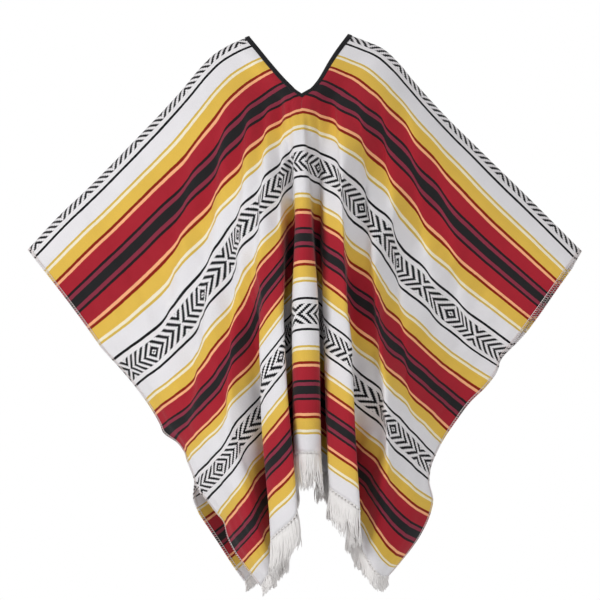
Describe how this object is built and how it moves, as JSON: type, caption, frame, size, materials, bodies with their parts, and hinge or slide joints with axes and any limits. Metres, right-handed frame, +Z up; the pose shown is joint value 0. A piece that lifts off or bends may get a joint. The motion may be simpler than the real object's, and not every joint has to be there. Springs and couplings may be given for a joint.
{
  "type": "serape poncho",
  "caption": "Striped blanket poncho with a bound neck slit and fringed hems, hanging in the shape of worn shoulders, open at neck, sides and hem.",
  "frame": {"origin": "midway between the two corners of the neck slit, on the shoulder fold, where the wearer's shoulders hold it", "axes": "+Z up, the front faces -Y, +X is to the right as seen from the front"},
  "size_m": [1.0878, 0.4305, 1.1076],
  "materials": {
    "striped_cloth": "matte wool blend weave in stripes",
    "black_tape": "matte woven tape",
    "fringe_yarn": "matte twisted yarn"
  },
  "bodies": {
    "root": {"front_panel": "striped_cloth", "back_panel": "striped_cloth", "neck_binding": "black_tape", "front_fringe": "fringe_yarn", "back_fringe": "fringe_yarn"}
  },
  "joints": []
}
